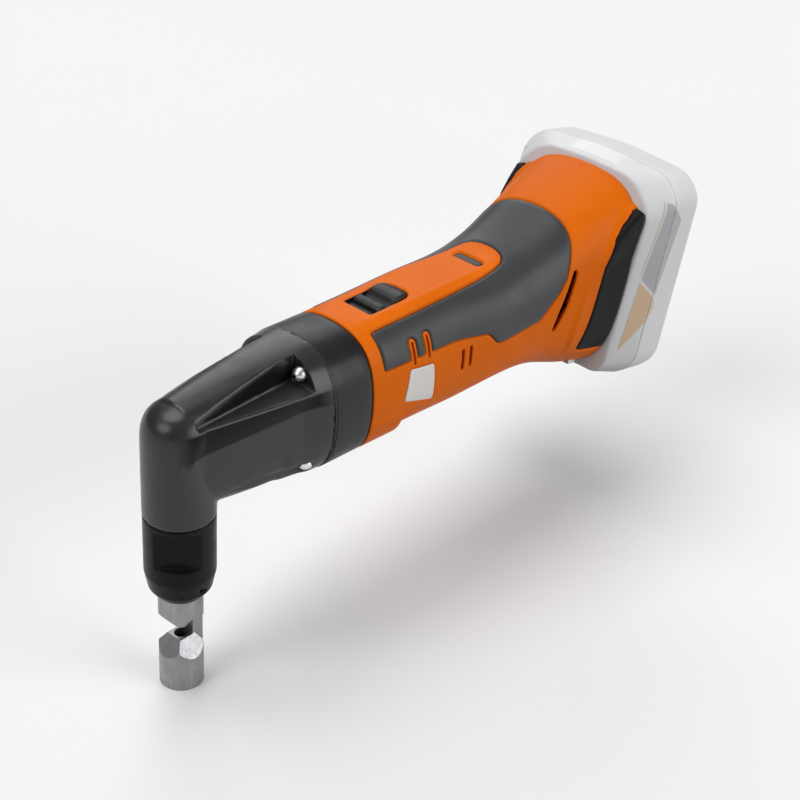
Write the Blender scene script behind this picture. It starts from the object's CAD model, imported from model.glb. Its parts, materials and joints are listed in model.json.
"""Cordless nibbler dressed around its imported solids: soft-edged castings and mouldings, fasteners, trim,
finishes, studio light and the photograph's camera."""

import json
import math

import bmesh
import bpy
import numpy as np
from mathutils import Matrix, Vector
from mathutils.bvhtree import BVHTree


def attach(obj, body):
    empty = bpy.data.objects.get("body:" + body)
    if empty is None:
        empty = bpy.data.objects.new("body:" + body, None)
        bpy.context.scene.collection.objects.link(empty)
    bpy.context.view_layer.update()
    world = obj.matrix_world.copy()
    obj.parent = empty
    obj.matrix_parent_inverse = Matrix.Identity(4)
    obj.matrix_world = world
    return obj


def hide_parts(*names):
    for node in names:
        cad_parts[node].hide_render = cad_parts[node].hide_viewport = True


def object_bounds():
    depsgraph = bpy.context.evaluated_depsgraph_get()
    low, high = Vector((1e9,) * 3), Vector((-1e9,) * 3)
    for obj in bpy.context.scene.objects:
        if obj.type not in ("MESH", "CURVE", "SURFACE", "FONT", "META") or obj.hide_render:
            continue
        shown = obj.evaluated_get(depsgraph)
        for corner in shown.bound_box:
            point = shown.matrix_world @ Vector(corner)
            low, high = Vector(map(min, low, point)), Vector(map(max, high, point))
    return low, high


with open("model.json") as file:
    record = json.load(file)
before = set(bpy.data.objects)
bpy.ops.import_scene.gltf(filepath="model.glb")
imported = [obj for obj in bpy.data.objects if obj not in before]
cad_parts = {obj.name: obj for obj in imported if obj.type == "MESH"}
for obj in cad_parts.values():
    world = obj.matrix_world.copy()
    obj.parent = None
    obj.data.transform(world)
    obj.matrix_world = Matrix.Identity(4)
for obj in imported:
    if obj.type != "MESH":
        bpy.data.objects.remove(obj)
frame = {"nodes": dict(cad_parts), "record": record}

nodes = frame["nodes"]
cad_low, cad_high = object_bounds()
scene = bpy.context.scene
MM = 0.001
BODY_OF = {n: body for body, members in frame["record"]["behaviour"]["bodies"].items() for n in members}


# Finishes


def feed(tree, node, **settings):
    """Gives a node's inputs their values, or links them to the outputs that give them."""
    for name, given in settings.items():
        socket = node.inputs[name.replace("_", " ")]
        if isinstance(given, bpy.types.NodeSocket):
            tree.links.new(given, socket)
        else:
            socket.default_value = given
    return node


def added(tree, kind, **settings):
    """New node in a tree, with its inputs fed."""
    return feed(tree, tree.nodes.new(kind), **settings)


def finish(name):
    """Empty finish with one surface shader, and the piece's own coordinates to draw on."""
    mat = bpy.data.materials.new(name)
    mat.use_nodes = True
    tree = mat.node_tree
    tree.nodes.clear()
    shader = added(tree, "ShaderNodeBsdfPrincipled")
    added(tree, "ShaderNodeOutputMaterial", Surface=shader.outputs[0])
    where = added(tree, "ShaderNodeTexCoord").outputs["Object"]
    return mat, tree, shader, where


def stretched(tree, where, scale):
    """Coordinates drawn out along one or more axes."""
    return added(tree, "ShaderNodeMapping", Vector=where, Scale=scale).outputs[0]


def mottle(tree, where, scale, detail=4.0):
    """Cloudy pattern; a scale of 1000 gives patches about a millimetre across."""
    node = added(tree, "ShaderNodeTexNoise", Vector=where, Scale=scale, Detail=detail, Roughness=0.55)
    return node.outputs["Fac"]


def grain(tree, where, scale):
    """Pebbled mould texture."""
    node = tree.nodes.new("ShaderNodeTexVoronoi")
    node.feature = "SMOOTH_F1"
    return feed(tree, node, Vector=where, Scale=scale, Smoothness=0.6).outputs["Distance"]


def span(tree, value, low, high, to_low, to_high):
    """Maps a range of a pattern to a range of a setting."""
    node = added(tree, "ShaderNodeMapRange", Value=value, From_Min=low, From_Max=high)
    return feed(tree, node, To_Min=to_low, To_Max=to_high).outputs["Result"]


def joined_by(tree, operation, a, b):
    """Two numbers put together, as outputs or plain values."""
    node = tree.nodes.new("ShaderNodeMath")
    node.operation = operation
    for socket, given in zip(node.inputs, (a, b)):
        if isinstance(given, float):
            socket.default_value = given
        else:
            tree.links.new(given, socket)
    return node


def colour_mix(tree, share, a, b):
    """Mixes two colours, or the outputs that give them."""
    node = tree.nodes.new("ShaderNodeMix")
    node.data_type = "RGBA"
    tree.links.new(share, node.inputs["Factor"])
    for socket, given in ((node.inputs[6], a), (node.inputs[7], b)):
        if isinstance(given, tuple):
            socket.default_value = (*given, 1)
        else:
            tree.links.new(given, socket)
    return node.outputs[2]


def raised(tree, height, strength, depth, **under):
    """Relief from a pattern, on top of another relief where one is given."""
    node = added(tree, "ShaderNodeBump", Height=height, Strength=strength, Distance=depth, **under)
    return node.outputs[0]


def worn_edges(tree, where):
    """Share of wear: high on sharp outer edges, broken up by a mottle."""
    sharp = added(tree, "ShaderNodeNewGeometry").outputs["Pointiness"]
    edge = span(tree, sharp, 0.53, 0.60, 0, 1)
    patch = span(tree, mottle(tree, where, 420), 0.4, 0.68, 0, 1)
    node = joined_by(tree, "MULTIPLY", edge, patch)
    node.use_clamp = True
    return node.outputs[0]


def moulded(name, light, dark, worn, rough, pebble, relief, shine=0.5, soft=0.0):
    """Moulded or painted skin: drifting tone, pebbled relief, uneven gloss and rubbed edges."""
    mat, tree, shader, where = finish(name)
    tone = span(tree, mottle(tree, where, 45, 5), 0.32, 0.68, 0, 1)
    base = colour_mix(tree, tone, light, dark)
    base = colour_mix(tree, span(tree, mottle(tree, where, 2600, 2), 0.55, 0.75, 0, 0.35), base, dark)
    base = colour_mix(tree, worn_edges(tree, where), base, worn)
    gloss = span(tree, mottle(tree, where, 160, 6), 0.3, 0.7, rough - 0.05, rough + 0.07)
    pebbles = raised(tree, grain(tree, where, pebble), relief, 0.00006)
    waves = raised(tree, mottle(tree, where, 300, 2), 0.10, 0.0002, Normal=pebbles)
    feed(tree, shader, Base_Color=base, Roughness=gloss, Normal=waves, Specular_IOR_Level=shine)
    if soft:
        feed(tree, shader, Sheen_Weight=soft, Sheen_Roughness=0.5)
    return mat


def metal(name, light, dark, rough, along, relief=0.2):
    """Ground or turned metal with fine lines along one axis and light staining."""
    mat, tree, shader, where = finish(name)
    lines = mottle(tree, stretched(tree, where, along), 1500, 3)
    stain = span(tree, mottle(tree, where, 130, 6), 0.35, 0.7, 0, 1)
    base = colour_mix(tree, stain, light, dark)
    base = colour_mix(tree, span(tree, lines, 0.4, 0.7, 0, 0.5), base, dark)
    gloss = span(tree, lines, 0.3, 0.7, rough - 0.06, rough + 0.10)
    ground = raised(tree, lines, relief, 0.00005)
    feed(tree, shader, Metallic=1.0, Base_Color=base, Roughness=gloss, Normal=ground)
    return mat


PRINT = {"rough": 0.40, "pebble": 3000, "relief": 0.05, "shine": 0.4}
FINISHES = {
    "head_paint": moulded("head paint", (0.030, 0.032, 0.034), (0.024, 0.0255, 0.027),
        worn=(0.07, 0.075, 0.08), rough=0.30, pebble=1900, relief=0.08, shine=0.45),
    "flange_paint": moulded("flange paint", (0.020, 0.0215, 0.023), (0.015, 0.016, 0.017),
        worn=(0.06, 0.065, 0.07), rough=0.34, pebble=1900, relief=0.08, shine=0.26),
    "orange_plastic": moulded("orange moulding", (0.850, 0.168, 0.003), (0.790, 0.148, 0.003),
        worn=(0.88, 0.23, 0.02), rough=0.42, pebble=2300, relief=0.10, shine=0.08),
    "soft_grip": moulded("grip rubber", (0.056, 0.058, 0.061), (0.048, 0.050, 0.052),
        worn=(0.10, 0.10, 0.105), rough=0.40, pebble=2900, relief=0.20, shine=0.30, soft=0.03),
    "bumper": moulded("bumper rubber", (0.009, 0.009, 0.010), (0.007, 0.007, 0.0075),
        worn=(0.025, 0.025, 0.027), rough=0.50, pebble=2400, relief=0.25, shine=0.15),
    "black_plastic": moulded("black moulding", (0.014, 0.014, 0.015), (0.010, 0.010, 0.011),
        worn=(0.05, 0.05, 0.052), rough=0.40, pebble=2600, relief=0.18, shine=0.30),
    "plate": moulded("blank plate", (0.86, 0.83, 0.80), (0.80, 0.77, 0.74),
        worn=(0.92, 0.90, 0.88), rough=0.45, pebble=3000, relief=0.06, shine=0.4),
    "holder_black": moulded("blackened holder", (0.010, 0.010, 0.011), (0.007, 0.007, 0.008),
        worn=(0.05, 0.05, 0.054), rough=0.32, pebble=1600, relief=0.10, shine=0.11),
    "pack_plastic": moulded("pale pack", (0.81, 0.81, 0.82), (0.77, 0.77, 0.78),
        worn=(0.86, 0.86, 0.87), rough=0.45, pebble=2200, relief=0.12, shine=0.4),
    "window": moulded("smoked window", (0.040, 0.034, 0.031), (0.028, 0.024, 0.022),
        worn=(0.08, 0.07, 0.065), rough=0.22, pebble=3200, relief=0.02, shine=0.15),
    "board": moulded("lacquered board", (0.012, 0.080, 0.030), (0.008, 0.060, 0.022),
        worn=(0.05, 0.14, 0.07), rough=0.30, pebble=1500, relief=0.10),
    "cell_wrap": moulded("cell wrap", (0.030, 0.120, 0.260), (0.022, 0.095, 0.215),
        worn=(0.07, 0.18, 0.32), rough=0.28, pebble=900, relief=0.10),
    "die_steel": metal("ground die steel", (0.38, 0.38, 0.39), (0.27, 0.27, 0.28),
        rough=0.42, along=(1, 1, 0.04), relief=0.06),
    "screw_steel": metal("plated screw steel", (0.86, 0.86, 0.87), (0.74, 0.74, 0.76),
        rough=0.36, along=(0.3, 1, 1)),
    "gear_steel": metal("oiled gear steel", (0.46, 0.46, 0.48), (0.30, 0.29, 0.28),
        rough=0.30, along=(0.05, 1, 1)),
    "bearing_steel": metal("bearing steel", (0.66, 0.66, 0.68), (0.52, 0.52, 0.54),
        rough=0.18, along=(0.1, 1, 1)),
    "bronze": metal("sintered bronze", (0.52, 0.30, 0.11), (0.40, 0.22, 0.08),
        rough=0.40, along=(1, 1, 1), relief=0.4),
    "lamination": metal("stacked sheet", (0.20, 0.20, 0.22), (0.10, 0.10, 0.11),
        rough=0.42, along=(1, 0.02, 0.02), relief=0.6),
    "copper": metal("enamelled wire", (0.62, 0.24, 0.08), (0.46, 0.16, 0.05),
        rough=0.28, along=(0.02, 1, 1), relief=0.6),
    "label": moulded("blank label", (0.88, 0.88, 0.88), (0.84, 0.84, 0.84),
        worn=(0.90, 0.90, 0.90), **PRINT),
    "panel_grey": moulded("grey panel print", (0.52, 0.52, 0.54), (0.47, 0.47, 0.49),
        worn=(0.62, 0.62, 0.63), **PRINT),
    "panel_peach": moulded("peach panel print", (0.78, 0.56, 0.38), (0.73, 0.52, 0.35),
        worn=(0.85, 0.66, 0.50), **PRINT),
    "contact": metal("plated contact", (0.70, 0.52, 0.24), (0.58, 0.42, 0.18),
        rough=0.24, along=(1, 1, 0.1)),
}


def dulled_hollow(mat):
    """Dark, dull paint where the head's mesh is marked as hollow."""
    tree = mat.node_tree
    shader = next(n for n in tree.nodes if n.type == "BSDF_PRINCIPLED")
    mark = tree.nodes.new("ShaderNodeAttribute")
    mark.attribute_name = "hollow"
    share = mark.outputs["Fac"]
    paint = shader.inputs["Base Color"].links[0].from_socket
    shine = shader.inputs["Specular IOR Level"].default_value
    dark = colour_mix(tree, share, paint, (0.004, 0.004, 0.0045))
    feed(tree, shader, Base_Color=dark, Specular_IOR_Level=span(tree, share, 0, 1, shine, 0.05))


dulled_hollow(FINISHES["head_paint"])


# Mesh work


def placed(name, data):
    """New object in the scene, at the origin."""
    obj = bpy.data.objects.new(name, data)
    scene.collection.objects.link(obj)
    return obj


def piece(name, mesh, slot):
    """New piece of the object with its finish."""
    mesh.materials.clear()
    mesh.materials.append(FINISHES[slot])
    return placed(name, mesh)


def shaped_by(obj, name, kind, **settings):
    """Puts a modifier on a piece."""
    modifier = obj.modifiers.new(name, kind)
    for setting, value in settings.items():
        setattr(modifier, setting, value)


def settled(obj):
    """Bakes a piece's modifiers into its mesh."""
    graph = bpy.context.evaluated_depsgraph_get()
    mesh = bpy.data.meshes.new_from_object(obj.evaluated_get(graph))
    obj.modifiers.clear()
    obj.data = mesh


def rounded_shading(obj, crease=None):
    """Smooth shading all over, apart from edges that turn by more than a crease in degrees."""
    obj.data.polygons.foreach_set("use_smooth", [True] * len(obj.data.polygons))
    obj.data.update()
    if crease:
        obj.data.set_sharp_from_angle(angle=math.radians(crease))


def fitted(obj, slot, *stands_for):
    """Names a piece's finish and the solids it stands for, and lets it move with their body."""
    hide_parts(*stands_for)
    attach(obj, BODY_OF[stands_for[0]])


def rejoined(mesh, reach, outward=False):
    """Joins a mesh's points that lie within a reach, and can turn its faces outwards."""
    bm = bmesh.new()
    bm.from_mesh(mesh)
    bmesh.ops.remove_doubles(bm, verts=bm.verts, dist=reach)
    if outward:
        bmesh.ops.recalc_face_normals(bm, faces=bm.faces)
    bm.to_mesh(mesh)
    bm.free()
    return mesh


def welded(node):
    """Copy of a solid's mesh with its loose triangles joined."""
    return rejoined(nodes[node].data.copy(), 2e-6)


def softened(node, name, slot, voxel, passes, keep=1.0):
    """Soft-edged copy of a solid, as a casting or moulding leaves its tool."""
    obj = piece(name, welded(node), slot)
    shaped_by(obj, "skin", "REMESH", mode="VOXEL", voxel_size=voxel * MM)
    shaped_by(obj, "soften", "SMOOTH", factor=0.5, iterations=passes)
    if keep < 1:
        shaped_by(obj, "thin", "DECIMATE", ratio=keep)
    settled(obj)
    rounded_shading(obj)
    fitted(obj, slot, node)
    return obj


# Forms in millimetres, one row per section: x, z, rake, half width, height above, depth below, squareness

AXIS_Z = 96.0
FLANGE_X = 50.6
HOUSING_X0 = 69.0
HOUSING_X1 = 206.0
COLLAR_X1 = 86.5
ROUND = 0.71
SECTIONS = np.array([
    (HOUSING_X0, AXIS_Z, 0.0, 22.2, 25.5, 22.8, ROUND),
    (92.0, AXIS_Z, 0.0, 22.4, 25.5, 22.9, ROUND),
    (120.0, AXIS_Z, 0.0, 22.8, 25.7, 24.4, ROUND),
    (145.0, AXIS_Z, 0.0, 24.2, 25.0, 23.8, ROUND),
    (162.0, 96.6, 3.0, 25.2, 28.4, 26.2, ROUND),
    (176.0, 98.0, 6.5, 27.0, 33.0, 31.2, 0.73),
    (189.0, 99.0, 9.5, 28.9, 37.4, 36.2, 0.76),
    (HOUSING_X1, 99.2, 11.0, 32.0, 42.8, 39.9, 0.80),
])
COLLAR_SECTIONS = np.array([
    (HOUSING_X0, AXIS_Z, 0.0, 22.2, 25.5, 25.0, ROUND),
    (COLLAR_X1, AXIS_Z, 0.0, 22.8, 25.5, 25.4, ROUND),
])
FLANGE_SECTIONS = np.array([
    (FLANGE_X, AXIS_Z, 0.0, 22.1, 26.0, 24.5, ROUND),
    (HOUSING_X0, AXIS_Z, 0.0, 22.2, 25.5, 25.0, ROUND),
])
RIM_AT = (205.34, 108.38)
RIM_RAKE = math.radians(11)


def eased(at, xs, ys):
    """Natural cubic through a row of values."""
    n = len(xs)
    step = np.diff(xs)
    slope = np.diff(ys) / step
    grid = np.eye(n)
    rest = np.zeros(n)
    for i in range(1, n - 1):
        grid[i, i - 1:i + 2] = step[i - 1], 2 * (step[i - 1] + step[i]), step[i]
        rest[i] = 6 * (slope[i] - slope[i - 1])
    bend = np.linalg.solve(grid, rest)
    i = np.clip(np.searchsorted(xs, at) - 1, 0, n - 2)
    h = step[i]
    a = (xs[i + 1] - at) / h
    b = (at - xs[i]) / h
    return a * ys[i] + b * ys[i + 1] + ((a**3 - a) * bend[i] + (b**3 - b) * bend[i + 1]) * h * h / 6


def section_ring(columns, knee):
    """Across and up factors of rounded sections, once around from the right side."""
    turn = np.arange(columns)[None, :] * 4.0 / columns
    t = turn % 1.0
    knee = np.asarray(knee, float).reshape(-1, 1)
    near = (1 - t) ** 3 + 3 * (1 - t) ** 2 * t + 3 * knee * (1 - t) * t**2
    far = 3 * knee * (1 - t) ** 2 * t + 3 * (1 - t) * t**2 + t**3
    quarter = np.broadcast_to(turn.astype(int), near.shape)
    across = np.choose(quarter, [near, -far, -near, far])
    up = np.choose(quarter, [far, near, -far, -near])
    return across, up


def body_grid(rows, stations, columns, inset=0.0):
    """Points of a form through sections, in millimetres: stations by columns by three."""
    values = [eased(stations, rows[:, 0], column)[:, None] for column in rows.T[1:]]
    z, rake, half, high, deep, knee = values
    across, up = section_ring(columns, knee)
    inset = np.broadcast_to(np.asarray(inset, float), stations.shape)[:, None]
    rise = np.where(up >= 0, up * (high - inset), up * (deep - inset))
    rake = np.radians(rake)
    x = stations[:, None] + rise * np.sin(rake)
    y = across * (half - inset)
    return np.stack([x, y, z + rise * np.cos(rake)], axis=2)


def grid_normals(points):
    """Outward unit normals of a grid that closes on itself around its columns."""
    along = np.gradient(points, axis=0)
    around = np.roll(points, -1, axis=1) - np.roll(points, 1, axis=1)
    normal = np.cross(along, around)
    return -normal / np.linalg.norm(normal, axis=2, keepdims=True)


def outline_gap(px, py, outline):
    """Distance to an outline, negative inside it."""
    points = np.array(outline, float)
    best = np.full(px.shape, 1e9)
    odd = np.zeros(px.shape, bool)
    for a, b in zip(points, np.roll(points, -1, axis=0)):
        ex, ey = b - a
        wx, wy = px - a[0], py - a[1]
        t = np.clip((wx * ex + wy * ey) / (ex * ex + ey * ey), 0, 1)
        best = np.minimum(best, np.hypot(wx - t * ex, wy - t * ey))
        if ey:
            odd ^= ((a[1] <= py) != (b[1] <= py)) & (px < a[0] + (py - a[1]) / ey * ex)
    return np.where(odd, -best, best)


def slot_gap(px, py, middle, half, radius):
    """Distance to a rounded box, negative inside it."""
    dx = np.abs(px - middle[0]) - half[0] + radius
    dy = np.abs(py - middle[1]) - half[1] + radius
    return np.hypot(np.maximum(dx, 0), np.maximum(dy, 0)) + np.minimum(np.maximum(dx, dy), 0) - radius


def soft_max(a, b, blend):
    """Larger of two fields, with the corner between them rounded."""
    return 0.5 * (a + b + np.sqrt((a - b) ** 2 + blend**2))


GRIP_SIDE = [
    (75, 160), (75, 107.4), (75.9, 106.5), (113, 105), (128.6, 102.2), (130.4, 101.2), (134.8, 96.4),
    (137, 95.7), (157, 97.5), (159.2, 98.6), (168.2, 106), (172.5, 111), (178.6, 124), (181.2, 131.5),
    (184, 160),
]
TONGUE_SIDE = [
    (80, 12.4), (100, 12.7), (116, 12.7), (127, 12.1), (136, 11.4), (145, 10.5), (149.2, 9.6),
    (151.6, 7.6), (152.8, 4),
]
DECK_SIDE = [
    (73.2, 6.2), (74.4, 7.6), (85, 8.2), (100, 9.2), (115, 9.3), (127, 8.8), (140, 7.9), (146.5, 7.2),
    (149.6, 5.6), (151.0, 2.8),
]


def both_sides(front, side, rear):
    """Closed outline from its left side, mirrored to the right, with its points on the middle line."""
    return front + [(x, -y) for x, y in side] + [rear] + side[::-1] + [(x, -y) for x, y in front[::-1] if y]


TONGUE_TOP = both_sides([(40, -12.4)], TONGUE_SIDE, (153.1, 0))
DECK_TOP = both_sides([(73.0, 0)], DECK_SIDE, (151.3, 0))
BADGE_SIDE = [
    (85.9, 90.6), (101.0, 85.3), (101.7, 86.0), (100.3, 100.8), (99.6, 101.5), (88.3, 103.2),
    (87.5, 102.6), (85.4, 91.3),
]
REAR_SLOT = [
    (176.4, 113.6), (177.4, 113.4), (177.7, 112.4), (176.4, 108.6), (172.7, 99.6), (169.5, 94.0),
    (167.4, 90.4), (166.5, 90.0), (166.0, 90.6), (167.9, 96.4), (171.0, 102.9), (174.4, 109.6),
]
PAD_SIDE = [
    (5, 23.2), (-0.8, 23.2), (-2.6, 22.4), (-4.6, 20.5), (-8.2, 16.4), (-11.4, 11.6), (-13.2, 5.5),
    (-14.2, -0.8), (-14.9, -13.3), (-15.2, -27.5), (-15.3, -33.5), (-14.6, -36.2), (-12.6, -37.4),
    (-6, -37.2), (5, -36.0),
]
RIDGE_SIDE = [
    (2, 26), (-1.5, 23.7), (-6.2, 19.2), (-10.6, 13.6), (-17.5, 2.6), (-21.5, -7), (-23.5, -15.8),
    (-23.2, -27), (-20.4, -38.8), (-17, -60), (9, -60), (9, 26),
]
FINGERS = [(90.4, 113.4), (97.9, 113.6)]
FINGER_HALF = 1.45
SLIT_HALF = 0.5
LOW_VENTS = [116.0, 120.2]
VENT_HALF = 0.7
KNOB_SLOT = ((92.8, 0), (11.2, 6.8))
FAR = 50.0  # stands for a feature that a point is nowhere near


def body_fields(points):
    """Distances, in millimetres, that lay out the housing's features on its form."""
    x, y, z = points[..., 0], points[..., 1], points[..., 2]
    cx, cz = x - RIM_AT[0], z - RIM_AT[1]
    back_x = cx * math.cos(RIM_RAKE) - cz * math.sin(RIM_RAKE)
    back_z = cx * math.sin(RIM_RAKE) + cz * math.cos(RIM_RAKE)
    high = z > 100
    tongue = np.where(high, outline_gap(x, y, TONGUE_TOP), FAR)
    grip = soft_max(outline_gap(x, z, GRIP_SIDE), -tongue, 1.0)
    slits = np.full(x.shape, FAR)
    for fx, top in FINGERS:
        grip = np.maximum(grip, -slot_gap(x, z, (fx, top - 15), (FINGER_HALF, 15), 1.4))
        slits = np.minimum(slits, slot_gap(x, z, (fx, top - 5.2), (SLIT_HALF, 4.3), 0.45))
    vents = np.full(x.shape, FAR)
    for vx in LOW_VENTS:
        vents = np.minimum(vents, slot_gap(x, z, (vx, 96.6), (VENT_HALF, 4.3), 0.6))
    side = np.abs(y) > 6
    pad = np.maximum(outline_gap(back_x, back_z, PAD_SIDE), 22.8 - np.abs(y))
    knob = np.where(high, slot_gap(x, y, *KNOB_SLOT, 1.2), FAR)
    rear_round = np.where(high, slot_gap(x, y, *KNOB_SLOT, 4.8), FAR)
    crest = points[:, points.shape[1] // 4]
    deck = np.where(high, outline_gap(x, y, DECK_TOP), FAR)
    share = np.where(deck <= 0, 1.0, np.clip(-tongue / np.maximum(deck - tongue, 1e-6), 0, 1))
    share = np.where(tongue < 0, share, 0.0) * np.clip((x - 69.4) / 3.4, 0, 1)
    return {
        "tongue": tongue,
        "grip": grip,
        "slits": np.where(side, slits, FAR),
        "vents": np.where(side, vents, FAR),
        "rear_slot": np.where(side, outline_gap(x, z, REAR_SLOT), FAR),
        "badge": np.where(side, outline_gap(x, z, BADGE_SIDE), FAR),
        "deck": deck,
        "deck_rise": share * (np.interp(x, crest[:, 0], crest[:, 2]) - 0.003 * y * y - z),
        "knob": np.where(x > 100, rear_round, knob),
        "window": np.where(high, slot_gap(x, y, (141.8, 0), (2.5, 6.9), 1.7), FAR),
        "pad": pad,
        "ridge": outline_gap(back_x, back_z, RIDGE_SIDE),
        "rim": back_x,
        "cheek": 30.9 + 0.17 * back_x + 0.085 * back_z - np.abs(y),
        "heave": back_z,
        "way": np.maximum(np.maximum(np.abs(y) - 20.4, -9.4 - back_x), back_z + 2.0),
        "front": x - HOUSING_X0,
        "collar": np.maximum(x - COLLAR_X1, z - 87.0),
    }


def body_stations():
    """Stations along the housing, with one on each side of every narrow upright slot."""
    plain = np.linspace(HOUSING_X0, HOUSING_X1, 172)
    marks = []
    slots = [(fx, SLIT_HALF) for fx, _ in FINGERS] + [(vx, VENT_HALF) for vx in LOW_VENTS]
    for x, half in slots:
        marks += [x - half - 0.3, x - half, x - half + 0.25, x, x + half - 0.25, x + half, x + half + 0.3]
    for fx, _ in FINGERS:
        marks += [fx - 1.8, fx - FINGER_HALF, fx + FINGER_HALF, fx + 1.8]
    marks = np.array(sorted(marks + [69.25, 69.6, 70.2, 86.1, 86.5, 86.7]))
    kept = [p for p in plain if np.min(np.abs(marks - p)) > 0.3]
    return np.array(sorted(kept + list(marks)))


def grid_faces(stations, columns):
    """Faces of a grid that closes on itself around its columns."""
    faces = []
    for i in range(stations - 1):
        a, b = i * columns, (i + 1) * columns
        faces += [(a + j, a + (j + 1) % columns, b + (j + 1) % columns, b + j) for j in range(columns)]
    return faces


def body_skin():
    """Editable mesh of the housing's form that carries its feature fields."""
    stations = body_stations()
    columns = 184
    points = body_grid(SECTIONS, stations, columns)
    normals = grid_normals(points)
    fields = body_fields(points)
    near = np.clip(stations, HOUSING_X0, COLLAR_X1)
    collar = [np.interp(near, COLLAR_SECTIONS[:, 0], column)[:, None] for column in COLLAR_SECTIONS.T]
    half, high, deep = collar[3:6]
    across, up = section_ring(columns, ROUND)
    wide = across * half
    tall = np.where(up >= 0, up * high, up * deep) + AXIS_Z
    reach = (wide - points[..., 1]) * normals[..., 1] + (tall - points[..., 2]) * normals[..., 2]
    fields["collar_reach"] = np.where(stations[:, None] < 88, reach, 0.0)
    bm = bmesh.new()
    layers = {name: bm.verts.layers.float.new(name) for name in fields}
    out = bm.verts.layers.float_vector.new("out")
    locked = bm.verts.layers.int.new("locked")
    flat = points.reshape(-1, 3) * MM
    flat_normals = normals.reshape(-1, 3)
    flat_fields = {name: f.reshape(-1) for name, f in fields.items()}
    verts = []
    for i, co in enumerate(flat.tolist()):
        v = bm.verts.new(co)
        v[out] = flat_normals[i].tolist()
        for name, layer in layers.items():
            v[layer] = float(flat_fields[name][i])
        verts.append(v)
    for face in grid_faces(len(stations), columns):
        bm.faces.new([verts[i] for i in face])
    bm.normal_update()
    return bm, layers, out, locked


def blended(v, w, share, layers, out):
    """Moves a vertex part of the way to another, with everything it carries."""
    v.co = v.co.lerp(w.co, share)
    v[out] = v[out].lerp(w[out], share)
    for layer in layers.values():
        v[layer] += (w[layer] - v[layer]) * share


def scored(bm, layers, out, locked, name, *levels):
    """Cuts a skin along the lines where one of its fields has given values."""
    layer = layers[name]
    for level in levels:
        for v in bm.verts:
            gap = v[layer] - level
            if abs(gap) > 0.6 or v[locked]:
                continue
            if abs(gap) < 1e-5:
                v[locked] = 1
                continue
            best, target = 0.22, None
            for e in v.link_edges:
                w = e.other_vert(v)
                other = w[layer] - level
                if gap * other < 0:
                    share = gap / (gap - other)
                    if share < best:
                        best, target = share, w
            if target:
                blended(v, target, best, layers, out)
                v[layer] = level
                v[locked] = 1
        cuts = []
        for e in bm.edges:
            a, b = e.verts
            fa, fb = a[layer] - level, b[layer] - level
            if fa * fb < 0 and abs(fa) > 1e-5 and abs(fb) > 1e-5:
                cuts.append((e, a, fa / (fa - fb)))
        for e, a, share in cuts:
            v = bmesh.utils.edge_split(e, a, share)[1]
            v[layer] = level
            v[locked] = 1
        line = [v for v in bm.verts if abs(v[layer] - level) < 1e-5]
        bmesh.ops.connect_verts(bm, verts=line)


def cut_away(bm, unwanted):
    """Removes the faces that a test on their middle picks."""
    gone = [f for f in bm.faces if unwanted(f)]
    bmesh.ops.delete(bm, geom=gone, context="FACES")
    loose = [v for v in bm.verts if not v.link_faces]
    bmesh.ops.delete(bm, geom=loose, context="VERTS")


def mean(face, layer):
    """Middle value of a field on a face."""
    return sum(v[layer] for v in face.verts) / len(face.verts)


def walled(bm, name, slot, wall):
    """Turns a skin into a piece with a wall."""
    mesh = bpy.data.meshes.new(name)
    bmesh.ops.recalc_face_normals(bm, faces=bm.faces)
    bm.to_mesh(mesh)
    bm.free()
    own = [a.name for a in mesh.attributes if not a.is_internal]
    for attribute in own:
        if attribute not in ("position", "sharp_face"):
            mesh.attributes.remove(mesh.attributes[attribute])
    obj = piece(name, mesh, slot)
    shaped_by(obj, "wall", "SOLIDIFY", thickness=wall * MM, offset=-1)
    settled(obj)
    rounded_shading(obj)
    return obj


def along(value, levels, heights):
    """Height of a profile at one value of its field."""
    return float(np.interp(value, levels, heights))


WELL_FLOOR_Z = 119.5
RIDGE_LEVELS = (-7.0, -4.0, -2.0, -0.8, 0.2, 1.4)
# Levels of each field that the housing is cut along, and how far its skin moves out at each of them
FEATURES = {
    "rim": ((0.0, -0.4, -1.2), (-0.6, -0.15, 0.0)),
    "way": ((0.0,), ()),
    "grip": ((0.35, 0.0, -0.3), (0.0, -0.15, -1.5)),
    "slits": ((0.2, 0.0), (0.0, -0.12)),
    "vents": ((0.3, 0.0), (0.0, -0.2)),
    "rear_slot": ((0.6, 0.0), (0.0, -0.6)),
    "badge": ((0.2, -0.15), (0.0, -0.5)),
    "deck": ((0.3, -0.3), ()),
    "knob": ((0.3, 0.0, -0.2), ()),
    "window": ((0.35, 0.0, -0.3), (0.0, -0.15, -1.2)),
    "pad": ((0.35, 0.0, -0.3), (0.0, -0.2, -1.9)),
    "ridge": ((1.4, 0.2, -0.8, -2.0), ()),
    "tongue": ((-0.35, -0.8, -1.2), ()),
    "collar": ((0.15, -0.5), ()),
}


def onto_cheek(v, layers):
    """Brings a point of the rear out to the flat cheek of the pad, with a ridge along its front."""
    inside = v[layers["ridge"]]
    if inside > 1.4:
        return
    ends = along(v[layers["heave"]], (-39, -31, 21.5, 25), (0, 1, 1, 0))
    share = along(inside, RIDGE_LEVELS, (1.0, 0.95, 0.75, 0.5, 0.2, 0.0)) * ends
    lift = along(inside, RIDGE_LEVELS, (0.0, 0.3, 0.65, 0.6, 0.25, 0.0)) * ends
    v.co.y += math.copysign((max(v[layers["cheek"]], 0.0) * share + lift) * MM, v.co.y)


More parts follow.
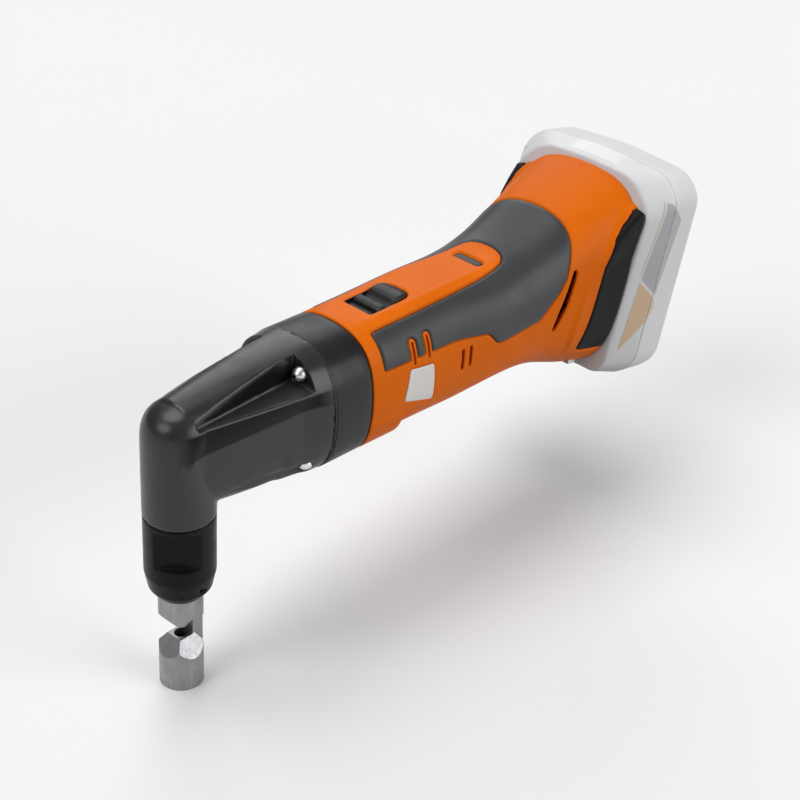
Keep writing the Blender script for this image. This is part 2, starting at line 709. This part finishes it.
def housing_pot():
    """Orange housing with its rear rim: seats for the grip, badges and pads, slots, tongue and collar."""
    bm, layers, out, locked = body_skin()
    for name, (levels, _) in FEATURES.items():
        scored(bm, layers, out, locked, name, *levels)
    rim, way = layers["rim"], layers["way"]
    holes = [layers[name] for name in ("slits", "vents", "rear_slot")]
    cut_away(bm, lambda f: mean(f, rim) > 0 or mean(f, way) < 0 or min(mean(f, hole) for hole in holes) < 0)
    moves = [(layers[name], levels[::-1], lifts[::-1]) for name, (levels, lifts) in FEATURES.items() if lifts]
    for v in bm.verts:
        onto_cheek(v, layers)
        v.co.z += v[layers["deck_rise"]] * MM
        lift = sum(along(v[layer], levels, lifts) for layer, levels, lifts in moves)
        lift += along(v[layers["front"]], (0.0, 0.25, 0.6, 1.2), (-0.9, -0.45, -0.15, 0.0))
        lift += along(v[layers["collar"]], (-0.5, 0.15), (1.0, 0.0)) * v[layers["collar_reach"]]
        if v[layers["grip"]] > 0:
            lift += along(v[layers["tongue"]], (-1.2, -0.8, -0.35, -0.05), (0.0, 0.2, 0.2, 0.0))
            lift += along(v[layers["deck"]], (-1.5, -0.3, 0.3, 1.5), (-0.12, 0.0, 0.0, 0.0))
        v.co += v[out] * (lift * MM)
        well = v[layers["knob"]]
        if well < 0.3:
            v.co.z += (WELL_FLOOR_Z * MM - v.co.z) * along(well, (-0.2, 0.0, 0.3), (1.0, 0.08, 0.0))
    pot = walled(bm, "housing_pot", "orange_plastic", 2.6)
    fitted(pot, "orange_plastic", "motor_housing", "rear_cap")


def inlay(name, slot, field, edge, rounding, lift, wall, stands_for, side=0):
    """Piece let into the housing: the part of its form inside one outline, with rounded edges."""
    bm, layers, out, locked = body_skin()
    layer = layers[field]
    cut_away(bm, lambda f: min(v[layer] for v in f.verts) > 0.5 or side * f.calc_center_median().y < 0)
    scored(bm, layers, out, locked, "rim", 0.0, -0.5, -1.2)
    levels = [edge - r for r in (0.0, 0.35 * rounding, rounding)]
    scored(bm, layers, out, locked, field, *levels)
    rim = layers["rim"]
    cut_away(bm, lambda f: mean(f, layer) > edge or mean(f, rim) > 0)
    for v in bm.verts:
        drop = along(v[layer], levels[::-1], (0.0, -0.28 * rounding, -0.85 * rounding))
        drop += along(v[rim], (-1.2, -0.5, 0.0), (0.0, -0.15, -0.6))
        onto_cheek(v, layers)
        v.co.z += v[layers["deck_rise"]] * MM
        v.co += v[out] * ((lift + drop) * MM)
    fitted(walled(bm, name, slot, wall), slot, stands_for)


housing_pot()
inlay("grip_saddle", "soft_grip", "grip", -0.22, 1.2, 0.22, 1.2, "soft_grip")
SIDES = (("left", -1), ("right", 1))
for end, side in SIDES:
    inlay(f"badge_plate_{end}", "plate", "badge", -0.12, 0.3, 0.12, 0.5, f"badge_{end}", side)
for end, side in SIDES:
    inlay(f"bumper_pad_{end}", "bumper", "pad", -0.22, 1.0, 0.1, 1.5, f"bumper_{end}", side)
inlay("window_lens", "window", "window", -0.3, 0.5, -0.75, 0.3, "indicator_window")


def closed(name, points, faces):
    """Closed mesh with its faces pointing outwards."""
    mesh = bpy.data.meshes.new(name)
    mesh.from_pydata(points, [], faces)
    return rejoined(mesh, 1e-7, outward=True)


def capped(name, rings):
    """Closed mesh through rings of points, with a cap on the first and on the last."""
    columns = len(rings[0])
    last = (len(rings) - 1) * columns
    caps = [tuple(range(columns)), tuple(range(last, last + columns))]
    return closed(name, [p for ring in rings for p in ring], grid_faces(len(rings), columns) + caps)


def flange_ring():
    """Ring between the head and the housing, with a groove at the joint with the head."""
    lip = [(0, 0.3), (0.05, 0.05), (0.6, 0.05)]
    groove = [(0.65, 0.7), (1.0, 0.7), (1.06, 0.05)]
    wall = [(1.5, 0), (5.4, 0), (9.4, 0), (13.4, 0), (17.0, 0)]
    rear = [(17.7, 0.12), (18.1, 0.4), (18.3, 0.8)]
    back, inset = np.array(lip + groove + wall + rear).T
    stations = FLANGE_X + back
    columns = 200
    outer = body_grid(FLANGE_SECTIONS, stations, columns, inset)
    angle = np.arctan2(outer[0, :, 2] - AXIS_Z, outer[0, :, 1])
    radius = 18.6
    bore = np.stack([np.zeros(columns), radius * np.cos(angle), AXIS_Z + radius * np.sin(angle)], axis=1)
    near, far = bore + (stations[0], 0, 0), bore + (stations[-1], 0, 0)
    rows = [near, *outer, far, near]
    points = (np.concatenate(rows) * MM).tolist()
    mesh = closed("flange_ring", points, grid_faces(len(rows), columns))
    obj = piece("flange_ring", mesh, "flange_paint")
    rounded_shading(obj, crease=50)
    fitted(obj, "head_paint", "gear_flange")


def mesh_numbers(mesh, what):
    """Places or normals of a mesh's vertices, as rows."""
    flat = np.empty(len(mesh.vertices) * 3)
    mesh.vertices.foreach_get(what, flat)
    return flat.reshape(-1, 3)


HEAD_SECTIONS = np.array([
    (-2.3, AXIS_Z, 0.0, 12.38, 21.0, 19.5, ROUND),
    (15.0, AXIS_Z, 0.0, 15.6, 23.1, 21.4, ROUND),
    (34.5, AXIS_Z, 0.0, 19.2, 25.1, 22.6, ROUND),
    (52.0, AXIS_Z, 0.0, 22.0, 26.0, 24.5, ROUND),
])


HEAD_X0, HEAD_X1, HEAD_STEPS = -2, 52, 108
POCKET_LIP_Z = 109.6
PANEL_FOOT_Z = 76.0
VALLEY_DEPTH = 2.9


def head_reach(x, y, z):
    """Distance of the head's even form from its axis, in the direction of each point."""
    stations = np.linspace(HEAD_X0, HEAD_X1, HEAD_STEPS + 1)
    ring = body_grid(HEAD_SECTIONS, stations, 360)
    turns = np.linspace(-math.pi, math.pi, 361)
    table = []
    for row in ring:
        across, up = row[:, 1], row[:, 2] - AXIS_Z
        angle = np.arctan2(up, across)
        order = np.argsort(angle)
        reach = np.hypot(across, up)
        table.append(np.interp(turns, angle[order], reach[order], period=2 * math.pi))
    table = np.array(table)
    at = np.clip((x - HEAD_X0) / (HEAD_X1 - HEAD_X0) * HEAD_STEPS, 0, HEAD_STEPS - 0.001)
    spin = np.clip((np.arctan2(z - AXIS_Z, y) + math.pi) / (2 * math.pi) * 360, 0, 359.999)
    i, j = at.astype(int), spin.astype(int)
    u, v = at - i, spin - j
    low = table[i, j] * (1 - v) + table[i, j + 1] * v
    return low * (1 - u) + (table[i + 1, j] * (1 - v) + table[i + 1, j + 1] * v) * u


def head_ratio(x, y, z):
    """How far out the head's even form lies, as a share of each point's distance from the axis."""
    return head_reach(x, y, z) / np.maximum(np.hypot(y, z - AXIS_Z), 1.0)


def evened(obj):
    """Brings the skin of the head that is near its even form onto it, towards the flange."""
    co = mesh_numbers(obj.data, "co") / MM
    x, y, z = co.T
    stretch = head_ratio(x, y, z)
    outer = (stretch > 0.93) & (stretch < 1.012) & (x > 26) & (x < 51.8) & (z > 85)
    stretch = np.where(outer, 1 + (stretch - 1) * np.interp(x, (26, 32), (0, 1)), 1)
    co[:, 1] *= stretch
    co[:, 2] = AXIS_Z + (z - AXIS_Z) * stretch
    obj.data.vertices.foreach_set("co", co.reshape(-1) * MM)
    x, y, z = co.T
    calm = np.interp(x, (24, 29, 40, 46), (0, 1, 1, 0)) * ((np.abs(y) < 6.5) | (z < 103))
    group = obj.vertex_groups.new(name="calm")
    for i in np.nonzero(calm > 0.02)[0]:
        group.add([int(i)], float(calm[i]), "REPLACE")
    shaped_by(obj, "calm", "SMOOTH", factor=0.5, iterations=60, vertex_group=group.name)
    shaped_by(obj, "thin", "DECIMATE", ratio=0.5)
    settled(obj)
    obj.vertex_groups.clear()


def hollowed(obj):
    """Sinks a long valley into each side of the head, and marks where its paint is dark."""
    co = mesh_numbers(obj.data, "co")
    facing = mesh_numbers(obj.data, "normal")
    side = facing[:, 1] * np.sign(co[:, 1])
    x, y, z = co.T / MM
    crease = np.interp(x, (0, 45), (99.5, 104.2))
    above = np.clip((POCKET_LIP_Z - z) / (POCKET_LIP_Z - crease), 0, 1)
    below = np.clip((z - PANEL_FOOT_Z) / (crease - PANEL_FOOT_Z), 0, 1)
    flank = np.clip(side * 1.6 - 0.2, 0, 1) * (np.abs(y) > 8) * np.interp(x, (-9, 2, 40, 51), (0, 1, 1, 0))
    depth = VALLEY_DEPTH * np.where(z > crease, above, below) * flank
    band = np.clip((z - crease + 0.4) / 0.8, 0, 1) * np.clip((POCKET_LIP_Z + 0.3 - z) / 0.6, 0, 1)
    band *= np.clip(flank * 2, 0, 1)
    pocket = np.clip((head_ratio(x, y, z) - 1.03) / 0.04, 0, 1)
    pocket *= np.clip((0.30 - facing[:, 2]) / 0.3, 0, 1)
    pocket *= (z > POCKET_LIP_Z + 0.2) * np.interp(x, (0, 4, 46, 47), (0, 1, 1, 0))
    hollow = obj.data.attributes.new("hollow", "FLOAT", "POINT")
    hollow.data.foreach_set("value", np.maximum(band * 0.85, pocket * 0.9))
    co[:, 1] -= np.sign(co[:, 1]) * depth * MM
    obj.data.vertices.foreach_set("co", co.reshape(-1))
    rounded_shading(obj)


def head_casting():
    """Gear head with soft edges, an even form towards the flange and a long valley down each side."""
    obj = softened("gear_head", "head_casting", "head_paint", 0.5, 4)
    evened(obj)
    hollowed(obj)


PACK_NECK = [
    (-22.0, 33.3), (0.0, 34.4), (22.0, 33.3), (33.0, 22.5), (30.5, -44.0), (27.0, -48.5),
    (-27.0, -48.5), (-30.5, -44.0), (-33.0, 22.5),
]
PACK_FULL = [
    (-30.0, 36.4), (0.0, 38.4), (30.0, 36.4), (38.3, 28.6), (38.3, -41.8), (30.0, -FAR),
    (-30.0, -FAR), (-38.3, -41.8), (-38.3, 28.6),
]
PACK_SCREWS = [(-18.0, 29.8), (18.0, 29.8), (-24.5, -43.4), (24.5, -43.4)]


def from_rim(point):
    """Place of a point given behind, across and up the raked rim, in millimetres."""
    x, y, z = point
    c, t = math.cos(RIM_RAKE), math.sin(RIM_RAKE)
    return ((RIM_AT[0] + x * c + z * t) * MM, y * MM, (RIM_AT[1] - x * t + z * c) * MM)


def rounded_outline(corners, inset, radius, steps=7, runs=12):
    """Outline of a convex panel, drawn in by an inset, with rounded corners and a fixed count of points."""
    points = np.array(corners)
    count = len(points)
    edge = np.roll(points, -1, axis=0) - points
    edge /= np.linalg.norm(edge, axis=1, keepdims=True)
    inward = np.stack([edge[:, 1], -edge[:, 0]], axis=1)
    if np.sum(inward * (points.mean(axis=0) - points)) < 0:
        inward = -inward
    before = np.roll(inward, 1, axis=0)
    moved = points + (before + inward) / (1 + np.sum(before * inward, axis=1, keepdims=True)) * inset
    arcs = []
    for i in range(count):
        back = moved[i - 1] - moved[i]
        ahead = moved[(i + 1) % count] - moved[i]
        reach = min(radius, 0.45 * np.linalg.norm(back), 0.45 * np.linalg.norm(ahead))
        p = moved[i] + back / np.linalg.norm(back) * reach
        q = moved[i] + ahead / np.linalg.norm(ahead) * reach
        t = np.linspace(0, 1, steps)[:, None]
        arcs.append((1 - t) ** 2 * p + 2 * t * (1 - t) * moved[i] + t**2 * q)
    made = []
    for i in range(count):
        made.append(arcs[i])
        t = np.linspace(0, 1, runs + 1)[1:-1, None]
        made.append(arcs[i][-1] * (1 - t) + arcs[(i + 1) % count][0] * t)
    return np.concatenate(made)


def pack_shell(rows):
    """Closed half of the pack through rows of distance behind the rim and inset."""
    rings = []
    for x, inset in rows:
        share = min(1.0, max(0.0, (x - 0.4) / 10.6))
        corners = np.array(PACK_NECK) * (1 - share) + np.array(PACK_FULL) * share
        rings.append([from_rim((x, y, z)) for y, z in rounded_outline(corners, inset, 6.0)])
    return capped("pack", rings)


def rim_bar(x0, x1, outline):
    """Plain bar along the rim's axis, as a cutting tool: its points and faces."""
    sides = len(outline)
    corners = [from_rim((x, y, z)) for x in (x0, x1) for y, z in outline]
    return corners, grid_faces(2, sides) + [tuple(range(sides)), tuple(range(sides, 2 * sides))]


def cut_out(obj, tools):
    """Takes simple shapes out of a closed piece."""
    corners, faces = [], []
    for more, flat in tools:
        faces += [tuple(i + len(corners) for i in f) for f in flat]
        corners += more
    tool = placed("tool", closed("tool", corners, faces))
    shaped_by(obj, "cut", "BOOLEAN", object=tool, operation="DIFFERENCE", solver="EXACT")
    settled(obj)
    bpy.data.objects.remove(tool)


def pack_halves():
    """Front half of the pack with its rail tongue, rear half with screw holes and a bay for the button."""
    front_rows = [(0.4, 1.0), (0.5, 0.45), (0.8, 0.12), (1.4, 0), (3, 0), (5, 0), (7, 0), (9, 0), (10.5, 0)]
    front_rows += [(10.75, 0.1), (10.9, 0.5)]
    front = piece("pack_front", pack_shell(front_rows), "pack_plastic")
    bm = bmesh.new()
    bm.from_mesh(welded("pack_front_shell"))
    rim = Vector(from_rim((0, 0, 0)))
    backwards = (Vector(from_rim((1, 0, 0))) - rim).normalized()
    gone = [f for f in bm.faces if (f.calc_center_median() - rim).dot(backwards) > 0.3 * MM]
    bmesh.ops.delete(bm, geom=gone, context="FACES")
    bm.from_mesh(front.data)
    bm.to_mesh(front.data)
    bm.free()
    bend, radius = 25.4, 4.5
    rear_rows = [(11.1, 0.5), (11.25, 0.1), (11.5, 0), (14, 0), (17, 0), (20, 0), (23, 0), (bend, 0)]
    for a in np.radians([15, 30, 45, 60, 75, 90]):
        rear_rows.append((bend + radius * math.sin(a), radius * (1 - math.cos(a))))
    rear = piece("pack_rear", pack_shell(rear_rows), "pack_plastic")
    hole = [(2.9 * math.cos(a), 2.9 * math.sin(a)) for a in np.arange(40) * math.pi / 20]
    tools = [rim_bar(17.9, 40, [(y + dy, z + dz) for dy, dz in hole]) for y, z in PACK_SCREWS]
    bay = [(-10, -60), (10, -60), (10, -40), (-10, -40)]
    cut_out(rear, tools + [rim_bar(14.9, 23.9, bay)])
    for obj, node in ((front, "pack_front_shell"), (rear, "pack_rear_shell")):
        rounded_shading(obj, crease=42)
        fitted(obj, "pack_plastic", node)


SIDE_PANELS = [
    (
        "stripe", "panel_peach",
        [(5.6, 28.0), (7.2, 27.0), (4.4, -4.6), (3.2, -36.0), (2.2, -29.0), (4.2, -5.0)],
    ),
    ("field", "panel_grey", [(7.9, 26.6), (9.4, 26.8), (17.0, 19.8), (12.4, -11.6), (5.2, -5.2)]),
    ("point", "panel_peach", [(5.0, -6.6), (12.6, -13.6), (14.0, -17.0), (3.9, -36.4)]),
]
PACK_SEAM = (10.6, 11.4)
TOP_LABEL = [(2.8, -11.5), (10.2, -11.5), (10.2, 11.5), (2.8, 11.5)]


def draped(name, finish_name, outline, place, toward, skin):
    """Thin printed panel laid on the pack inside a flat convex outline, with a gap at the pack's seam."""
    points = np.array(outline)
    low, high = points.min(axis=0), points.max(axis=0)
    middle = points.mean(axis=0)
    bm = bmesh.new()
    steps = [max(2, int(n)) for n in (high - low) / 0.7]
    bmesh.ops.create_grid(bm, x_segments=steps[0], y_segments=steps[1], size=0.5)
    for v in bm.verts:
        v.co.x = low[0] + (v.co.x + 0.5) * (high[0] - low[0])
        v.co.y = low[1] + (v.co.y + 0.5) * (high[1] - low[1])
    cuts = [((at, 0, 0), Vector((1, 0, 0)), False) for at in PACK_SEAM]
    for a, b in zip(points[::-1], np.roll(points, -1, axis=0)[::-1]):
        out = Vector((b[1] - a[1], a[0] - b[0], 0))
        inside = out.dot(Vector((*(middle - a), 0))) > 0
        cuts.insert(0, ((*a, 0), -out if inside else out, True))
    for at, out, trim in cuts:
        geom = bm.verts[:] + bm.edges[:] + bm.faces[:]
        bmesh.ops.bisect_plane(bm, geom=geom, plane_co=at, plane_no=out, clear_outer=trim)
    cut_away(bm, lambda f: PACK_SEAM[0] < f.calc_center_median().x < PACK_SEAM[1])
    for v in bm.verts:
        start = Vector(from_rim(place(v.co.x, v.co.y)))
        hit, normal = skin.ray_cast(start, toward)[:2]
        v.co = hit + normal * (0.12 * MM)
    bmesh.ops.remove_doubles(bm, verts=bm.verts, dist=1e-6)
    bm.normal_update()
    if sum((f.normal for f in bm.faces), Vector()).dot(toward) > 0:
        bmesh.ops.reverse_faces(bm, faces=bm.faces)
    mesh = bpy.data.meshes.new(name)
    bm.to_mesh(mesh)
    bm.free()
    obj = piece(name, mesh, finish_name)
    shaped_by(obj, "wall", "SOLIDIFY", thickness=0.3 * MM, offset=-1)
    settled(obj)
    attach(obj, BODY_OF["pack_rear_shell"])


def pack_prints():
    """Blank label on top of the pack and blank panels down its sides."""
    verts, faces = [], []
    for name in ("pack_front", "pack_rear"):
        mesh = bpy.data.objects[name].data
        faces += [[len(verts) + i for i in p.vertices] for p in mesh.polygons]
        verts += [v.co for v in mesh.vertices]
    skin = BVHTree.FromPolygons(verts, faces)
    up = Vector((math.sin(RIM_RAKE), 0, math.cos(RIM_RAKE)))
    draped("pack_label", "label", TOP_LABEL, lambda a, b: (a, b, 80), -up, skin)
    for end, y in (("left", -80), ("right", 80)):
        inward = Vector((0, -y, 0)).normalized()
        for part, finish_name, outline in SIDE_PANELS:
            draped(f"pack_{part}_{end}", finish_name, outline, lambda a, b: (a, y, b), inward, skin)


# Fasteners


SCREW_SIZES = ("Head radius", "Head height", "Recess radius", "Shank radius", "Shank length")


def screw_tree():
    """Row of dome-head screws with a six-sided recess, one on each point it is given."""
    tree = bpy.data.node_groups.new("screw row", "GeometryNodeTree")
    face = tree.interface
    face.new_socket("Geometry", in_out="INPUT", socket_type="NodeSocketGeometry")
    for name in SCREW_SIZES:
        face.new_socket(name, in_out="INPUT", socket_type="NodeSocketFloat")
    face.new_socket("Turn", in_out="INPUT", socket_type="NodeSocketVector")
    face.new_socket("Geometry", in_out="OUTPUT", socket_type="NodeSocketGeometry")

    def node(kind, **settings):
        return added(tree, kind, **settings)

    given = node("NodeGroupInput").outputs
    radius, height, length = given["Head radius"], given["Head height"], given["Shank length"]
    dome = node("GeometryNodeMeshUVSphere", Segments=40, Rings=20, Radius=1.0)
    size = node("ShaderNodeCombineXYZ", X=radius, Y=radius, Z=height)
    head = node("GeometryNodeTransform", Geometry=dome.outputs["Mesh"], Scale=size.outputs[0])
    recess = node("GeometryNodeMeshCylinder", Vertices=6, Radius=given["Recess radius"], Depth=height)
    rise = node("ShaderNodeCombineXYZ", Z=height)
    tool = node("GeometryNodeTransform", Geometry=recess.outputs["Mesh"], Translation=rise.outputs[0])
    cut = node("GeometryNodeMeshBoolean")
    cut.operation = "DIFFERENCE"
    for part, socket in zip((head, tool), cut.inputs):
        tree.links.new(part.outputs[0], socket)
    shank = node("GeometryNodeMeshCylinder", Vertices=32, Radius=given["Shank radius"], Depth=length)
    drop = node("ShaderNodeCombineXYZ", Z=joined_by(tree, "MULTIPLY", length, -0.5).outputs[0])
    sunk = node("GeometryNodeTransform", Geometry=shank.outputs["Mesh"], Translation=drop.outputs[0])
    join = node("GeometryNodeJoinGeometry")
    for part in (sunk, cut):
        tree.links.new(part.outputs[0], join.inputs[0])
    row = node("GeometryNodeInstanceOnPoints", Points=given["Geometry"], Instance=join.outputs[0])
    feed(tree, row, Rotation=given["Turn"])
    real = node("GeometryNodeRealizeInstances", Geometry=row.outputs[0])
    plated = node("GeometryNodeSetMaterial", Geometry=real.outputs[0], Material=FINISHES["screw_steel"])
    node("NodeGroupOutput", Geometry=plated.outputs[0])
    return tree


SCREW_TREE = screw_tree()


def screw_row(name, points, turn, sizes, stands_for):
    """Screws at a row of points, as one plain mesh."""
    mesh = bpy.data.meshes.new(name)
    mesh.from_pydata(points, [], [])
    obj = piece(name, mesh, "screw_steel")
    row = obj.modifiers.new("row", "NODES")
    row.node_group = SCREW_TREE
    given = {name: size * MM for name, size in zip(SCREW_SIZES, sizes)}
    given["Turn"] = turn
    for socket in SCREW_TREE.interface.items_tree:
        if socket.name in given:
            row[socket.identifier] = given[socket.name]
    settled(obj)
    rounded_shading(obj, crease=40)
    fitted(obj, "screw_steel", stands_for)


HEAD_SCREWS = [(-11.0, 114.4), (11.0, 114.4), (-14.9, 80.6), (14.9, 80.6)]
HEAD_SCREW_SEAT = 44.2
HEAD_SCREW = (2.7, 3.2, 0.8, 1.9, 40)
PACK_SCREW_SEAT = 18.1
PACK_SCREW = (2.5, 1.9, 1.1, 1.3, 8)

head_casting()
flange_ring()
pack_halves()
pack_prints()
head_seats = [(HEAD_SCREW_SEAT * MM, y * MM, z * MM) for y, z in HEAD_SCREWS]
screw_row("head_screw_row", head_seats, (0, -math.pi / 2, 0), HEAD_SCREW, "head_screws")
pack_seats = [from_rim((PACK_SCREW_SEAT, y, z)) for y, z in PACK_SCREWS]
screw_row("pack_screw_row", pack_seats, (0, math.pi / 2 + RIM_RAKE, 0), PACK_SCREW, "pack_screws")


# Slide switch


KNOB_LINE = [
    (86.0, 120.3), (86.15, 120.75), (86.6, 121.05), (88.0, 121.35), (89.4, 121.5), (89.9, 121.35),
    (90.3, 120.7), (90.8, 120.1), (91.6, 119.95), (92.6, 120.25), (93.8, 121.1), (94.4, 121.75),
    (95.0, 122.1), (97.0, 122.5), (99.0, 122.6), (101.0, 122.35), (102.4, 121.8), (103.2, 121.1),
    (103.5, 120.4),
]


def slide_knob():
    """Low slide knob with a finger scoop across it."""
    rows = []
    for x, top in KNOB_LINE:
        corner = max(0.0, x - 98.7) / 4.85
        half = 6.4 - 4.8 * (1 - math.sqrt(max(0.0, 1 - corner**2)))
        half -= 0.35 * max(0.0, 86.4 - x) / 0.4
        shape = [(half, 119.75), (half, top - 0.75), (half - 0.1, top - 0.35)]
        shape += [(half - 0.35, top - 0.1), (half - 0.75, top)]
        crown = [(y, top + 0.06) for y in np.linspace(half - 1.2, 1.2 - half, 7)]
        ring = shape + crown + [(-y, z) for y, z in shape[::-1]]
        rows.append([(x * MM, y * MM, z * MM) for y, z in ring])
    obj = piece("slide_knob", capped("slide_knob", rows), "black_plastic")
    rounded_shading(obj, crease=50)
    fitted(obj, "black_plastic", "switch_knob")


def switch_well():
    """Black tray that lines the slot the knob slides in."""
    front, rear, half = 81.64, 103.9, 6.78
    tight, wide = 1.1, 4.6
    corners = [
        (rear - wide, half - wide, wide),
        (front + tight, half - tight, tight),
        (front + tight, tight - half, tight),
        (rear - wide, wide - half, wide),
    ]
    rings = []
    for inset, z in ((0.0, 119.55), (0.0, 121.0), (0.2, 121.0), (0.2, 119.68)):
        ring = []
        for quarter, (x, y, radius) in enumerate(corners):
            for a in np.radians(np.linspace(90 * quarter, 90 * quarter + 90, 9)):
                reach = radius - inset
                ring.append(((x + reach * math.cos(a)) * MM, (y + reach * math.sin(a)) * MM, z * MM))
        rings.append(ring)
    obj = piece("switch_well", capped("switch_well", rings), "black_plastic")
    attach(obj, BODY_OF["motor_housing"])


slide_knob()
switch_well()
softened("die_holder", "holder_sleeve", "holder_black", 0.35, 4, 0.6)

# The solids that stay get their finish from their slot in the record
SLOT_OF = {s["node"]: s["material_slot"] for s in frame["record"]["subparts"]}
for node, obj in nodes.items():
    obj.data.materials.clear()
    obj.data.materials.append(FINISHES[SLOT_OF[node]])


# Studio

floor_mat, tree, shader, where = finish("studio floor")
drift = span(tree, mottle(tree, where, 3, 2), 0.3, 0.7, 0, 1)
tint = colour_mix(tree, drift, (0.94, 0.94, 0.94), (0.93, 0.93, 0.935))
path = tree.nodes.new("ShaderNodeLightPath")
seen = path.outputs["Is Camera Ray"]
for ray in ("Is Glossy Ray", "Is Transmission Ray"):
    seen = joined_by(tree, "MAXIMUM", seen, path.outputs[ray]).outputs[0]
shown = colour_mix(tree, seen, (0.22, 0.22, 0.22), tint)
feed(tree, shader, Base_Color=shown, Roughness=0.9, Specular_IOR_Level=0.1)
floor_mesh = bpy.data.meshes.new("floor")
FLOOR_REACH = 60.0
corners = [(x * FLOOR_REACH, y * FLOOR_REACH, cad_low.z) for x, y in ((-1, -1), (1, -1), (1, 1), (-1, 1))]
floor_mesh.from_pydata(corners, [], [(0, 1, 2, 3)])
floor_mesh.materials.append(floor_mat)
floor = placed("floor", floor_mesh)


def sun(name, source, strength, spread):
    """Even light over the whole floor, from one direction, soft by its spread in degrees."""
    data = bpy.data.lights.new(name, "SUN")
    data.energy = strength
    data.angle = math.radians(spread)
    obj = placed(name, data)
    obj.rotation_mode = "QUATERNION"
    obj.rotation_quaternion = (-Vector(source)).to_track_quat("-Z", "Y")


sun("overhead", (-0.05, 0.26, 1.0), 1.4, 40)
sun("left", (-0.80, 0.10, 0.62), 0.95, 35)
sun("back", (0.575, 0.63, 0.52), 0.7, 36)
sun("front", (0.38, -0.88, 0.28), 1.9, 50)

world = bpy.data.worlds.new("studio")
scene.world = world
world.use_nodes = True
sky = world.node_tree.nodes["Background"]
feed(world.node_tree, sky, Color=(0.95, 0.97, 1.0, 1), Strength=0.08)

scene.view_settings.view_transform = "Standard"

# Camera, fitted to the photograph
turn, rise, roll = (math.radians(a) for a in (-49.27, 32.2, 4.17))
back = Vector((math.sin(turn) * math.cos(rise), -math.cos(turn) * math.cos(rise), math.sin(rise)))
right = Vector((math.cos(turn), math.sin(turn), 0))
up = back.cross(right)
right, up = right * math.cos(roll) + up * math.sin(roll), up * math.cos(roll) - right * math.sin(roll)
camera = placed("camera", bpy.data.cameras.new("camera"))
camera.data.lens = 72
camera.data.sensor_width = 36
camera.matrix_world = Matrix((right, up, back)).transposed().to_4x4()
camera.location = (-0.2797464, -0.3344103, 0.3942487)
scene.camera = camera
